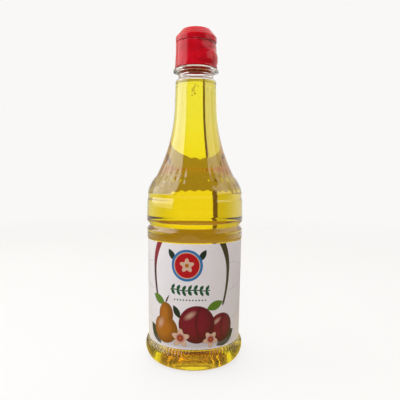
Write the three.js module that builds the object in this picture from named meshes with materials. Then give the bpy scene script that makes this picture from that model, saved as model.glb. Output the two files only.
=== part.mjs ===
// A clear half-litre vinegar bottle with a wrap-round label and a red flip-top cap.
// Millimetres, +Z up, origin on the floor under the bottle's axis. -Y is the label's front.
import * as THREE from 'three';

// Bottle. Heights are measured from the floor and radii from the axis.
const FOOT_INNER_RADIUS = 22;
const FOOT_OUTER_RADIUS = 26.2;
const PUSH_UP_HEIGHT = 7.5;
const HEEL_RADIUS = 34.95;
const HEEL_HEIGHT = 10.8;
const HEEL_LEDGE_HEIGHT = 15.4;
const PANEL_BOTTOM = 16.1;
const PANEL_TOP = 88;
const PANEL_BOTTOM_RADIUS = 32.65;
const PANEL_TOP_RADIUS = 33.6;
const BUMPER_RADIUS = 34.1;
const BUMPER_BOTTOM = 89.6;
const GROOVE_BOTTOM = 94.3;
const GROOVE_TOP = 100.6;
const GROOVE_DEPTH = 2;
const BAND_RADIUS = 34.35;
const BAND_TOP = 114.5;
const BAND_TOP_RADIUS = 34.05;
const SEAT_HEIGHT = 118.6;
const SEAT_RADIUS = 33.45;
const SHOULDER_BOTTOM = 119.8;
const SHOULDER_BOTTOM_RADIUS = 33.75;
const SHOULDER_CORNER_HEIGHT = 126.6;
const SHOULDER_CORNER_RADIUS = 33.1;
const SHOULDER_TOP = 131.8;
const SHOULDER_TOP_RADIUS = 27.7;
const NECK_BOTTOM = 186;
const NECK_BOTTOM_RADIUS = 14.8;
const COLLAR_HEIGHT = 196.8;
const COLLAR_RADIUS = 14.5;
const THROAT_BOTTOM = 200.2;
const THROAT_TOP = 203;
const THROAT_RADIUS = 12.4;
const RING_BOTTOM = 204.5;
const RING_TOP = 206.6;
const RING_RADIUS = 16.05;
const RING_CHAMFER = 0.6;
const MOUTH_HEIGHT = 221.2;
const MOUTH_BORE_RADIUS = 10.8;
const WALL = 0.9;

// The flare between shoulder and neck leaves the shoulder at this slope, in mm of radius for
// each mm of height, and these are the lengths over which its two ends keep their direction.
const FLARE_SLOPE = -0.5;
const FLARE_LOWER_REACH = 16;
const FLARE_UPPER_REACH = 22;

// Upright flutes pressed into the shoulder.
const FLUTE_COUNT = 36;
const FLUTE_DEPTH = 0.5;
const BOTTLE_SEGMENTS = 2 * FLUTE_COUNT;

// Steps in each round stretch, and the share of them that the hidden inside takes.
const STEPS = { pushUp: 3, heel: 4, ledge: 3, lip: 2, groove: 6, shoulder: 5, flare: 7, collar: 3 };
const OUTSIDE_FINENESS = 1;
const INSIDE_FINENESS = 0.4;

// Vinegar. It stands in the collar, where the neck draws in to its throat.
const LIQUID_LEVEL = 198.2;
const LIQUID_GAP = 0.1;
const LIQUID_SEGMENTS = FLUTE_COUNT;

// Label: one wrap round the panel.
const LABEL_MARGIN = 0.4;
const LABEL_THICKNESS = 0.25;
const LABEL_GAP = 0.08;

// Cap: a skirt over the mouth, with a flip lid above the seam.
const CAP_BOTTOM = 207.8;
const CAP_BOTTOM_RADIUS = 14.9;
const CAP_BEAD_HEIGHT = 1.2;
const CAP_BEAD_PROUD = 0.15;
const CAP_SEAM = 225.2;
const CAP_SEAM_RADIUS = 14.4;
const CAP_INNER_RADIUS = 13;
const CAP_SEGMENTS = 40;
const SEAM_GAP = 0.3;

// Thumb scoop in the skirt, under the lid's lip.
const SCOOP_AZIMUTH = THREE.MathUtils.degToRad(50);
const SCOOP_HALF_ANGLE = THREE.MathUtils.degToRad(48);
const SCOOP_HEIGHT = 6.4;
const SCOOP_DEPTH = 1.4;
const SCOOP_SIDE_POWER = 0.75;
const SCOOP_ROWS = 4;

// Thumb ledge: a swelling of the skirt below the scoop.
const LEDGE_HALF_ANGLE = THREE.MathUtils.degToRad(62);
const LEDGE_HEIGHT = 214.2;
const LEDGE_HALF_HEIGHT = 5.3;
const LEDGE_PROUD = 1.2;
const LEDGE_ROWS = 4;

// Lid: an upright band, a chamfer and a shallow crown, hollow underneath.
const LID_RADIUS = 14.5;
const LID_BAND_TOP = 229;
const LID_CHAMFER_TOP = 234.4;
const LID_CHAMFER_RADIUS = 10;
const LID_TOP = 235.6;
const LID_CROWN_ROUNDING = 2;
const LID_CROWN_STEPS = 3;
const LID_WALL = 1.2;

function plastic(color, roughness, opacity = 1) {
  const transparent = opacity < 1;
  return new THREE.MeshStandardMaterial({ color, roughness, metalness: 0, transparent, opacity });
}

const clearPlastic = plastic(0xf4f2e6, 0.08, 0.35);
const vinegarLiquid = plastic(0xf0d400, 0.05, 0.85);
const labelFilm = plastic(0xe4e0ea, 0.4);
const redCap = plastic(0xb00a18, 0.3);

function at(radius, height) {
  return new THREE.Vector2(radius, height);
}

function stepsFor(steps, fineness) {
  return Math.max(1, Math.round(steps * fineness));
}

// A quarter of an ellipse from one point to another, leaving and arriving along the lines
// through the corner. The start is left out, as the stretch before it ends there.
function roundCorner(from, corner, to, steps) {
  const toStart = from.clone().sub(corner);
  const toEnd = to.clone().sub(corner);
  return Array.from({ length: steps }, (_, step) => {
    const turn = (Math.PI / 2) * ((step + 1) / steps);
    return corner.clone()
      .addScaledVector(toStart, 1 - Math.sin(turn))
      .addScaledVector(toEnd, 1 - Math.cos(turn));
  });
}

// A smooth dip towards the axis between two points, deepest half way.
function groove(from, to, depth, steps) {
  return Array.from({ length: steps }, (_, step) => {
    const share = (step + 1) / steps;
    const dip = depth * Math.sin(Math.PI * share) ** 2;
    return from.clone().lerp(to, share).sub(at(dip, 0));
  });
}

// A cubic curve that leaves its start at the given slope and arrives upright.
function flare(from, to, steps) {
  const lower = at(from.x + FLARE_SLOPE * FLARE_LOWER_REACH, from.y + FLARE_LOWER_REACH);
  const upper = at(to.x, to.y - FLARE_UPPER_REACH);
  return new THREE.CubicBezierCurve(from, lower, upper, to).getPoints(steps).slice(1);
}

// An outline moved sideways along its own normals, inwards for a positive distance when the
// outline runs upwards on the outside.
function movedInwards(points, distance) {
  return points.map((point, index) => {
    const before = points[Math.max(index - 1, 0)];
    const after = points[Math.min(index + 1, points.length - 1)];
    const along = after.clone().sub(before).normalize();
    return point.clone().add(at(-along.y, along.x).multiplyScalar(distance));
  });
}

// The bottle's side from the foot to the throat, going up.
function sideOutline(fineness) {
  const steps = (count) => stepsFor(count, fineness);
  const foot = at(FOOT_OUTER_RADIUS, 0);
  const heel = at(HEEL_RADIUS, HEEL_HEIGHT);
  const panelBottom = at(PANEL_BOTTOM_RADIUS, PANEL_BOTTOM);
  const panelTop = at(PANEL_TOP_RADIUS, PANEL_TOP);
  const bumper = at(BUMPER_RADIUS, BUMPER_BOTTOM);
  const grooveStart = at(BUMPER_RADIUS, GROOVE_BOTTOM);
  const band = at(BAND_RADIUS, GROOVE_TOP);
  const bandTop = at(BAND_TOP_RADIUS, BAND_TOP);
  const seat = at(SEAT_RADIUS, SEAT_HEIGHT);
  const shoulder = at(SHOULDER_BOTTOM_RADIUS, SHOULDER_BOTTOM);
  const shoulderCorner = at(SHOULDER_CORNER_RADIUS, SHOULDER_CORNER_HEIGHT);
  const shoulderTop = at(SHOULDER_TOP_RADIUS, SHOULDER_TOP);
  const neck = at(NECK_BOTTOM_RADIUS, NECK_BOTTOM);
  const collar = at(COLLAR_RADIUS, COLLAR_HEIGHT);
  const throat = at(THROAT_RADIUS, THROAT_BOTTOM);
  return [
    foot,
    ...roundCorner(foot, at(HEEL_RADIUS, 0), heel, steps(STEPS.heel)),
    ...roundCorner(heel, at(HEEL_RADIUS, HEEL_LEDGE_HEIGHT), panelBottom, steps(STEPS.ledge)),
    panelTop,
    ...roundCorner(panelTop, at(BUMPER_RADIUS, PANEL_TOP), bumper, steps(STEPS.lip)),
    grooveStart,
    ...groove(grooveStart, band, GROOVE_DEPTH, steps(STEPS.groove)),
    bandTop,
    ...roundCorner(bandTop, at(BAND_TOP_RADIUS, SEAT_HEIGHT), seat, steps(STEPS.lip)),
    shoulder,
    ...roundCorner(shoulder, shoulderCorner, shoulderTop, steps(STEPS.shoulder)),
    ...flare(shoulderTop, neck, steps(STEPS.flare)),
    collar,
    ...roundCorner(collar, at(COLLAR_RADIUS, THROAT_BOTTOM), throat, steps(STEPS.collar)),
  ];
}

// Finish of the neck above the throat: the support ring and a plain tube inside the cap.
function finishOutline() {
  return [
    at(THROAT_RADIUS, THROAT_TOP),
    at(RING_RADIUS - RING_CHAMFER, RING_BOTTOM),
    at(RING_RADIUS, RING_BOTTOM + RING_CHAMFER),
    at(RING_RADIUS, RING_TOP - RING_CHAMFER),
    at(RING_RADIUS - RING_CHAMFER, RING_TOP),
    at(THROAT_RADIUS, RING_TOP),
    at(THROAT_RADIUS, MOUTH_HEIGHT),
    at(MOUTH_BORE_RADIUS, MOUTH_HEIGHT),
    at(MOUTH_BORE_RADIUS, RING_BOTTOM),
    at(THROAT_RADIUS - WALL, THROAT_TOP),
  ];
}

// The concave underside, from the axis out to the flat ring that the bottle stands on.
function pushUpOutline(fineness) {
  const crown = at(0, PUSH_UP_HEIGHT);
  const corner = at(FOOT_INNER_RADIUS, PUSH_UP_HEIGHT);
  const foot = at(FOOT_INNER_RADIUS, 0);
  return [crown, ...roundCorner(crown, corner, foot, stepsFor(STEPS.pushUp, fineness))];
}

// A closed shape turned about the axis. The outline keeps the material on its left.
function turned(outline, segments) {
  return new THREE.LatheGeometry(outline, segments).rotateX(Math.PI / 2);
}

// Moves vertices in or out from the axis by a function of their azimuth, which is 0 at the
// front and grows towards +X, their height, and their place in the turned outline.
function reshaped(geometry, outlineLength, offsetAt) {
  const position = geometry.attributes.position;
  for (let index = 0; index < position.count; index += 1) {
    const x = position.getX(index);
    const y = position.getY(index);
    const radius = Math.hypot(x, y);
    if (radius > 0) {
      const offset = offsetAt(Math.atan2(x, -y), position.getZ(index), index % outlineLength);
      position.setXY(index, x * (1 + offset / radius), y * (1 + offset / radius));
    }
  }
  geometry.computeVertexNormals();
  return geometry;
}

// Flutes fade out towards both ends of the shoulder and are deepest at its middle.
function fluteOffset(azimuth, height) {
  const share = (height - SHOULDER_BOTTOM) / (SHOULDER_TOP - SHOULDER_BOTTOM);
  if (share <= 0 || share >= 1) {
    return 0;
  }
  const fade = Math.sin(Math.PI * share);
  return -FLUTE_DEPTH * fade * (1 - Math.cos(FLUTE_COUNT * azimuth)) / 2;
}

function bottleGeometry() {
  const outside = [
    ...pushUpOutline(OUTSIDE_FINENESS),
    ...sideOutline(OUTSIDE_FINENESS),
    ...finishOutline(),
  ];
  const inside = insideOutline(WALL).reverse();
  const outline = [...outside, ...inside];
  return reshaped(turned(outline, BOTTLE_SEGMENTS), outline.length, (azimuth, height, place) => (
    place < outside.length ? fluteOffset(azimuth, height) : 0
  ));
}

// The hollow's outline from the axis up to the throat, a wall's thickness inside the bottle.
function insideOutline(depth) {
  const floor = movedInwards(pushUpOutline(INSIDE_FINENESS), depth).slice(0, -1);
  const side = movedInwards(sideOutline(INSIDE_FINENESS), depth).slice(1);
  return [at(0, floor[0].y), ...floor.slice(1), ...side];
}

// The part of an outline below a level, ended by its point at the level.
function upToLevel(points, level) {
  const above = points.findIndex((point) => point.y > level);
  const low = points[above - 1];
  const high = points[above];
  const share = (level - low.y) / (high.y - low.y);
  return [...points.slice(0, above), low.clone().lerp(high, share)];
}

function liquidGeometry() {
  const side = upToLevel(insideOutline(WALL + LIQUID_GAP), LIQUID_LEVEL);
  return turned([...side, at(0, LIQUID_LEVEL)], LIQUID_SEGMENTS);
}

function labelGeometry() {
  const bottom = PANEL_BOTTOM + LABEL_MARGIN;
  const top = PANEL_TOP - LABEL_MARGIN;
  const lowerRadius = PANEL_BOTTOM_RADIUS + LABEL_GAP;
  const upperRadius = PANEL_TOP_RADIUS + LABEL_GAP;
  const outline = [
    at(lowerRadius, bottom),
    at(lowerRadius + LABEL_THICKNESS, bottom),
    at(upperRadius + LABEL_THICKNESS, top),
    at(upperRadius, top),
    at(lowerRadius, bottom),
  ];
  return turned(outline, BOTTLE_SEGMENTS);
}

// The scoop is a half dish under the seam, steep at its rim. The ledge is a low swelling.
function thumbOffset(azimuth, height) {
  const turn = azimuth - SCOOP_AZIMUTH;
  const down = (CAP_SEAM - height) / SCOOP_HEIGHT;
  const inScoop = 1 - (turn / SCOOP_HALF_ANGLE) ** 2 - down ** 2;
  if (inScoop > 0) {
    return -SCOOP_DEPTH * inScoop ** SCOOP_SIDE_POWER;
  }
  const rise = (height - LEDGE_HEIGHT) / LEDGE_HALF_HEIGHT;
  return LEDGE_PROUD * Math.max(0, 1 - (turn / LEDGE_HALF_ANGLE) ** 2 - rise ** 2);
}

// Evenly spaced points up a straight or tapering stretch, without its first one.
function upright(from, to, rows) {
  return Array.from({ length: rows }, (_, row) => from.clone().lerp(to, (row + 1) / rows));
}

function capGeometry() {
  const deckUnderside = MOUTH_HEIGHT + SEAM_GAP;
  const beadTop = CAP_BOTTOM + CAP_BEAD_HEIGHT;
  const bodyStart = at(CAP_BOTTOM_RADIUS, beadTop);
  const scoopBottom = at(CAP_SEAM_RADIUS, CAP_SEAM - SCOOP_HEIGHT);
  const inner = [
    at(0, deckUnderside),
    at(CAP_INNER_RADIUS, deckUnderside),
    at(CAP_INNER_RADIUS, CAP_BOTTOM),
  ];
  const outer = [
    at(CAP_BOTTOM_RADIUS + CAP_BEAD_PROUD, CAP_BOTTOM),
    at(CAP_BOTTOM_RADIUS + CAP_BEAD_PROUD, beadTop - CAP_BEAD_PROUD),
    bodyStart,
    ...upright(bodyStart, scoopBottom, LEDGE_ROWS),
    ...upright(scoopBottom, at(CAP_SEAM_RADIUS, CAP_SEAM), SCOOP_ROWS),
    at(0, CAP_SEAM),
  ];
  const outline = [...inner, ...outer];
  return reshaped(turned(outline, CAP_SEGMENTS), outline.length, (azimuth, height, place) => (
    place < inner.length ? 0 : thumbOffset(azimuth, height)
  ));
}

// The lid's side and top: an upright band, a chamfer and a shallow crown.
function lidOutline(inset) {
  const seam = at(LID_RADIUS - inset, CAP_SEAM + SEAM_GAP);
  const bandTop = at(LID_RADIUS - inset, LID_BAND_TOP);
  const chamferTop = at(LID_CHAMFER_RADIUS - inset, LID_CHAMFER_TOP - inset);
  const crown = at(0, LID_TOP - inset);
  const crownCorner = at(LID_CHAMFER_RADIUS - inset - LID_CROWN_ROUNDING, LID_TOP - inset);
  const crownCurve = roundCorner(chamferTop, crownCorner, crown, LID_CROWN_STEPS);
  return [seam, bandTop, chamferTop, ...crownCurve];
}

function lidGeometry() {
  return turned([...lidOutline(LID_WALL).reverse(), ...lidOutline(0)], CAP_SEGMENTS);
}

function named(name, geometry, material) {
  const mesh = new THREE.Mesh(geometry, material);
  mesh.name = name;
  return mesh;
}

const group = new THREE.Group();
group.add(
  named('bottle', bottleGeometry(), clearPlastic),
  named('vinegar', liquidGeometry(), vinegarLiquid),
  named('label', labelGeometry(), labelFilm),
  named('cap', capGeometry(), redCap),
  named('cap_lid', lidGeometry(), redCap),
);

export default group;
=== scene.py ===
"""A clear half-litre vinegar bottle with a wrap-round label and a red flip-top cap."""

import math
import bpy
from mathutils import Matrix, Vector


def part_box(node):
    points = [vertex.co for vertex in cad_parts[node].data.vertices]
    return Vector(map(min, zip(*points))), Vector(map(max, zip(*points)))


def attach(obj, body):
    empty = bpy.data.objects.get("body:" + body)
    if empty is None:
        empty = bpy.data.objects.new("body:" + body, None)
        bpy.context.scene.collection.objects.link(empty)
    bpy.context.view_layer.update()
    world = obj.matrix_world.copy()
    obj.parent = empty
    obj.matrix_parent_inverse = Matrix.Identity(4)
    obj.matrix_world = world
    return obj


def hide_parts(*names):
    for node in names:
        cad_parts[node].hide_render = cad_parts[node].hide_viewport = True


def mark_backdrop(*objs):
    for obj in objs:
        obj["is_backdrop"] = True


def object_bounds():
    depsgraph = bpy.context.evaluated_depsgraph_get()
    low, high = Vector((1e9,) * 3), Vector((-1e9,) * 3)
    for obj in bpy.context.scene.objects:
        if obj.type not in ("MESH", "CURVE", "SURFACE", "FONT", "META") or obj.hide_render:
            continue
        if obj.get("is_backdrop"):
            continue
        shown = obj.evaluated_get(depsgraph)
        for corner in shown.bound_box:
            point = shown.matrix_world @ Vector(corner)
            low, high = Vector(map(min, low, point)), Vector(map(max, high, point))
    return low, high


bl_info = {
    "name": "Vinegar Bottle",
    "version": (1, 0, 0),
    "blender": (4, 5, 0),
    "location": "View3D > Sidebar > Bottle",
    "description": "Builds a clear bottle of yellow vinegar with its label and flip-top cap",
    "category": "Add Mesh",
}

import bpy
import numpy as np
from mathutils import Matrix

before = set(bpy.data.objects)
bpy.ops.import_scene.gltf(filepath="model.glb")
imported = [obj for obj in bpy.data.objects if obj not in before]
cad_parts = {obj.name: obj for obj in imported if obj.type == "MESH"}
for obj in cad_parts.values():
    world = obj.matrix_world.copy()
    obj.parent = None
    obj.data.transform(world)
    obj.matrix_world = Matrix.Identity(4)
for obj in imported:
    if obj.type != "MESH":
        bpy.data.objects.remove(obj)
CAD_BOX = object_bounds()

MM = 0.001
TURN = 2 * math.pi

# Bottle outline in millimetres: heights from the floor, radii from the axis
FOOT_INNER_RADIUS = 22.0
FOOT_OUTER_RADIUS = 26.2
PUSH_UP_HEIGHT = 7.5
HEEL_RADIUS = 34.95
HEEL_HEIGHT = 10.8
HEEL_LEDGE_HEIGHT = 15.4
PANEL_BOTTOM = 16.1
PANEL_TOP = 88.0
PANEL_BOTTOM_RADIUS = 32.65
PANEL_TOP_RADIUS = 33.6
BUMPER_RADIUS = 34.1
BUMPER_BOTTOM = 89.6
GROOVE_BOTTOM = 94.3
GROOVE_TOP = 100.6
GROOVE_DEPTH = 2.0
BAND_RADIUS = 34.35
BAND_TOP = 114.5
BAND_TOP_RADIUS = 34.05
SEAT_DEPTH = 0.42
SHOULDER_BOTTOM = 119.8
SHOULDER_BOTTOM_RADIUS = 33.75
SHOULDER_CORNER = (33.1, 126.6)
SHOULDER_TOP = 131.8
SHOULDER_TOP_RADIUS = 27.7
FLUTE_TOP = 143.8
FLARE_SLOPE = -0.5
FLARE_LOWER_REACH = 16.0
FLARE_UPPER_REACH = 22.0
NECK_BOTTOM = 186.0
NECK_BOTTOM_RADIUS = 14.8
COLLAR_HEIGHT = 196.8
COLLAR_RADIUS = 14.5
COLLAR_LINE_DEPTH = 0.18
COLLAR_LINE_HEIGHT = 1.2
THROAT_BOTTOM = 200.2
THROAT_TOP = 203.0
THROAT_RADIUS = 12.4
RING_BOTTOM = 204.5
RING_TOP = 206.6
RING_RADIUS = 16.05
RING_CHAMFER = 0.6
MOUTH_HEIGHT = 221.2
MOUTH_BORE_RADIUS = 10.8

# Fine upright ribs round the heel, under the label
RIB_BOTTOM = 11.4
RIB_TOP = 17.0

# Around the axis the bottle has 10 facets for each flute and 4 for each heel rib
BOTTLE_SEGMENTS = 360
OUTSIDE_FINENESS = 0.95
INSIDE_FINENESS = 0.8
CAP_SEGMENTS = 288

# In millimetres: the vinegar's outline stops this far below its level, where its surface
# begins, and the risen edge of the surface sinks away within about this reach
LEVEL_CLEARANCE = 0.1
MENISCUS_REACH = 1.4

# Air bubbles inside the wall, and a wavering trail of them on the front of the neck
BUBBLE_SEED = 7
BUBBLE_DEPTH = 1.2
BUBBLE_LEAST = 0.12
TRAIL_LEAST = 0.2
BUBBLE_SPREAD = 0.3
TRAIL_COUNT = 20
TRAIL_TOP = 195.0
TRAIL_DROP = 7.5
TRAIL_AZIMUTH = -0.08
TRAIL_SWAY = 0.09
TRAIL_WAVES = 1.3
TRAIL_SCATTER = 0.06

# The label is one film wrapped round the panel, glued down over its own start at the back
LABEL_MARGIN = 0.4
LABEL_GAP = 0.08
LABEL_SEAM_AZIMUTH = math.radians(172)
LABEL_OVERLAP = math.radians(13)
LAP_LEAD = math.radians(3)
LAP_RISE = math.radians(4)
LABEL_PRINT_RADIUS = 33.45
INNER_FACE = "inner_face"

# The film's waves: strength, waves round the bottle, turn for each millimetre up, first turn
FILM_WAVES = ((1.0, 5, 0.11, 0.0), (1.0, 13, -0.19, 1.0), (0.6, 3, 0.33, 0.0))

# Cap
CAP_BOTTOM = 207.8
CAP_BOTTOM_RADIUS = 14.9
CAP_BEAD_HEIGHT = 1.2
CAP_BEAD_PROUD = 0.15
CAP_SEAM = 225.2
CAP_SEAM_RADIUS = 14.4
CAP_INNER_RADIUS = 13.0
CAP_EDGE = 0.3
SEAM_GAP = 0.3
SCOOP_AZIMUTH = math.radians(50)
SCOOP_HALF_ANGLE = math.radians(48)
SCOOP_HEIGHT = 6.4
SCOOP_DEPTH = 1.4
SCOOP_SIDE_POWER = 0.75
SCOOP_DECK_POWER = 8
LEDGE_HALF_ANGLE = math.radians(62)
LEDGE_HEIGHT = 214.2
LEDGE_HALF_HEIGHT = 5.3
LEDGE_PROUD = 1.2
LID_RADIUS = 14.5
LID_BAND_TOP = 229.0
LID_CHAMFER_TOP = 234.4
LID_CHAMFER_RADIUS = 10.0
LID_TOP = 235.6
LID_CROWN_ROUNDING = 2.0
LID_EDGE = 0.45
LID_WALL = 1.2

# Camera: where the photograph was taken from
CAMERA_PLACE = (3.64, -328.5, 136.5)
CAMERA_PITCH = math.radians(-3.83)
CAMERA_ROLL = math.radians(0.51)
CAMERA_LENS = 40.95
CAMERA_SENSOR = 36.0

# Print on the label, in millimetres right of the bottle's front and above the floor
PRINT_CENTRE = -2.6
STRIPE_REACH = 27.75
STRIPE_MIDDLE = 69.0
MEDALLION = (-2.0, 73.4)
SPRIG_HEIGHT = 56.8
DOTS_HEIGHT = 50.2
PRINT_BLUR = 0.16
BOX_HEIGHT = 32.0
BOX_HALF_SIZE = (17.0, 11.3)
BOX_EDGE = 0.4
BOX_LINE_PITCH = 3.2

# The room that only the bottle sees: linear colours of its walls, the turn to a door's edge and
# its half width, and the turns between which the back wall changes to the right and ends
WALL_MIDDLE = (1.12, 1.1, 1.04)
WALL_RIGHT = (0.94, 0.9, 0.84)
WALL_LEFT = (0.78, 0.73, 0.6)
DOOR_EDGE = (0.16, 0.1, 0.03)
DOOR_TURN = -0.2025
DOOR_HALF_WIDTH = (0.022, 0.03)
RIGHT_TURNS = (0.08, 0.4)
FRONT_TURNS = (0.9, 1.9)

# Lights: sizes and places in millimetres, and tints
WINDOW_SIZE, WINDOW_PLACE = (1090, 830), (-600, -55, 655)
SILL_SIZE, SILL_PLACE, SILL_SHARE = (30, 830), (-600, -55, 95), 0.4
FILL_SIZE, FILL_PLACE = (500, 500), (600, -200, 500)
KEY_SIZE, KEY_PLACE = (1000, 1000), (-60, -850, 950)
KEY_TURN, KEY_TILT = math.radians(-4), math.radians(46)
COOL, WARM, ROSY = (0.94, 0.97, 1.0), (1.0, 0.97, 0.95), (1.0, 0.985, 0.985)

# The floor and the table, each just under the foot, in millimetres, and the metres from the
# bottle's middle over which the floor and the table's painted pool of yellow light fade
FLOOR_REACH, FLOOR_HEIGHT = (1200, 1200), -0.05
TABLE_REACH, TABLE_HEIGHT = (400, 645), -0.1
TABLE_CENTRE, TABLE_TURN = (0, -55), math.radians(-10)
FLOOR_FADE, CAUSTIC_PAINT_FADE = (0.42, 1.1), (0.04, 0.15)


def tone(red, green, blue):
    """A linear colour from the 0 to 255 steps of a screen colour."""
    screen = np.array([red, green, blue]) / 255
    linear = np.where(screen > 0.04045, ((screen + 0.055) / 1.055) ** 2.4, screen / 12.92)
    return tuple(float(part) for part in linear)


def length(name, description, default):
    """A size that a user would change, given in millimetres and kept in metres."""
    return bpy.props.FloatProperty(
        name=name, description=description, default=default * MM, unit="LENGTH", precision=5
    )


def colour(name, description, default):
    """A linear colour that a user would change."""
    return bpy.props.FloatVectorProperty(
        name=name, description=description, default=default, subtype="COLOR", min=0, max=1
    )


def amount(name, description, default):
    """A strength or a share that a user would change."""
    return bpy.props.FloatProperty(name=name, description=description, default=default, min=0)


def number(name, description, default):
    """A whole number that a user would change."""
    return bpy.props.IntProperty(name=name, description=description, default=default, min=1)


class BottleSettings(bpy.types.PropertyGroup):
    """Sizes and plastic of the blow-moulded bottle."""

    wall: length("Wall", "Thickness of the bottle's wall", 0.45)
    flute_depth: length("Flute depth", "Depth of the shoulder's flutes", 0.34)
    flute_count: number("Flutes", "Flutes round the shoulder", 36)
    rib_depth: length("Rib depth", "Depth of the heel's fine ribs", 0.62)
    rib_count: number("Heel ribs", "Fine ribs round the heel", 90)
    plastic: colour("Plastic", "Tint of the clear plastic", (0.985, 0.985, 0.98))
    ior: amount("Refraction", "Refractive index of the plastic", 1.575)


class VinegarSettings(bpy.types.PropertyGroup):
    """Level and colour of the vinegar."""

    overlap: length("Reach into wall", "How far the vinegar reaches into the wall", 0.1)
    meniscus: length("Meniscus", "Rise of the vinegar's edge against the wall", 0.7)
    passed: colour("Colour", "Colour that the vinegar lets through", (0.9917, 0.957, 0.042))
    density: amount("Density", "Strength of the vinegar's colour, for each metre", 120)
    ior: amount("Refraction", "Refractive index of the vinegar", 1.335)
    bubble_count: number("Bubbles", "Small air bubbles on the inside of the wall", 46)


class LabelSettings(bpy.types.PropertyGroup):
    """Film and printing inks of the label."""

    film: length("Film", "Thickness of the label's film", 0.06)
    wrinkle: length("Wrinkles", "Height of the film's light wrinkles", 0.035)
    # Painted glow: the colour that the film's inner face emits, in place of light that passes through
    # the film
    through: colour("Light through", "Light that passes to the film's inner face", (0.31, 0.22, 0.1))
    paper: colour("White", "White of the film", tone(248, 246, 251))
    crimson: colour("Crimson", "Upper end of the left stripe", tone(150, 22, 44))
    brown: colour("Brown", "Lower end of the left stripe", tone(66, 26, 34))
    olive: colour("Olive", "Right stripe", tone(70, 62, 30))
    red: colour("Red", "Medallion", tone(190, 14, 26))
    blue: colour("Blue", "Ring of the medallion", tone(52, 124, 186))
    green: colour("Green", "Sprig and dots", tone(12, 84, 48))
    leaf: colour("Leaf green", "Light leaves", tone(96, 136, 34))
    shade: colour("Dark green", "Dark leaves", tone(22, 46, 28))
    maroon: colour("Maroon", "Plums", tone(126, 16, 38))
    amber: colour("Amber", "Pear", tone(184, 112, 20))
    cream: colour("Cream", "Blossom", tone(226, 190, 166))
    grey: colour("Grey", "Hairlines and ruled box", tone(150, 142, 152))


class CapSettings(bpy.types.PropertyGroup):
    """Plastic of the cap and its lid."""

    red: colour("Red", "Colour of the moulded plastic", tone(220, 4, 36))
    roughness: amount("Roughness", "Roughness of the moulded plastic", 0.15)
    depth: length("Light depth", "How far light spreads inside the plastic", 6.0)


class StageSettings(bpy.types.PropertyGroup):
    """Floor, light and camera."""

    floor: colour("Floor", "Colour of the floor", (0.17, 0.17, 0.17))
    floor_glow: amount("Floor glow", "Light given by the luminous floor", 0.8)
    table: colour("Table", "Table seen through the bottle", tone(170, 153, 134))
    # Painted light: the yellow pool of light painted on the table round the foot
    painted_caustic: colour("Table by the foot", "Table where the bottle gathers light", tone(240, 212, 96))
    backdrop: colour("Backdrop", "Colour behind the bottle", tone(249, 248, 247))
    room: colour("Room", "Dim room in front of the bottle", (0.15, 0.11, 0.08))
    window: amount("Window", "Brightness of the window on the left", 1.7)
    fill: amount("Fill", "Brightness of the soft light on the right", 0.9)
    key: amount("Key", "Brightness of the soft light above the camera", 3.6)


SETTINGS = {
    "vinegar_bottle": BottleSettings,
    "vinegar_fill": VinegarSettings,
    "vinegar_label": LabelSettings,
    "vinegar_cap": CapSettings,
    "vinegar_stage": StageSettings,
}


def point(radius, height):
    """A point of an outline, in millimetres from the axis and above the floor."""
    return np.array([radius, height], float)


def outline(start, *strokes):
    """Joins strokes end to end into one outline. Each stroke starts where the last one ended."""
    points = [np.array([start], float)]
    for stroke in strokes:
        points.append(stroke(points[-1][-1]))
    return np.concatenate(points)


def line(end, count):
    """A straight stroke: start + s (end - start), with s = (1 - cos(pi n / count)) / 2."""
    share = (1 - np.cos(math.pi * np.arange(1, count + 1) / count)) / 2
    return lambda start: start + share[:, None] * (np.array(end) - start)


def corner(via, end, count):
    """A quarter ellipse: via + (start - via)(1 - sin t) + (end - via)(1 - cos t)."""
    turn = (math.pi / 2 * np.arange(1, count + 1) / count)[:, None]

    def stroke(start):
        to_start, to_end = start - np.array(via), np.array(end) - np.array(via)
        return via + to_start * (1 - np.sin(turn)) + to_end * (1 - np.cos(turn))

    return stroke


def dip(end, depth, count):
    """A straight stroke that sinks towards the axis by depth times sin(pi s) squared."""
    share = (np.arange(1, count + 1) / count)[:, None]

    def stroke(start):
        sunk = depth * np.sin(math.pi * share) ** 2 * point(1, 0)
        return start + share * (np.array(end) - start) - sunk

    return stroke


def flare(end, count):
    """The cubic curve of the shoulder's flare: it leaves at FLARE_SLOPE and arrives upright."""
    share = (np.arange(1, count + 1) / count)[:, None]
    rest = 1 - share

    def stroke(start):
        lower = start + FLARE_LOWER_REACH * point(FLARE_SLOPE, 1)
        upper = np.array(end) - FLARE_UPPER_REACH * point(0, 1)
        inner = 3 * rest * share * (rest * lower + share * upper)
        return rest**3 * start + inner + share**3 * np.array(end)

    return stroke


def moved_inwards(points, distance):
    """An outline moved along its own normals, into the plastic for a positive distance."""
    along = np.gradient(points, axis=0)
    along /= np.linalg.norm(along, axis=1, keepdims=True)
    moved = points + distance * np.stack([-along[:, 1], along[:, 0]], axis=1)
    off_axis = 0.01
    moved[:, 0] = np.where(points[:, 0] > 0, np.maximum(moved[:, 0], off_axis), 0)
    return moved


def push_up_outline(count):
    """The concave underside, from the axis out to the ring that the bottle stands on."""
    top = point(0, PUSH_UP_HEIGHT)
    return outline(top, corner((FOOT_INNER_RADIUS, PUSH_UP_HEIGHT), (FOOT_INNER_RADIUS, 0), count))


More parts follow.
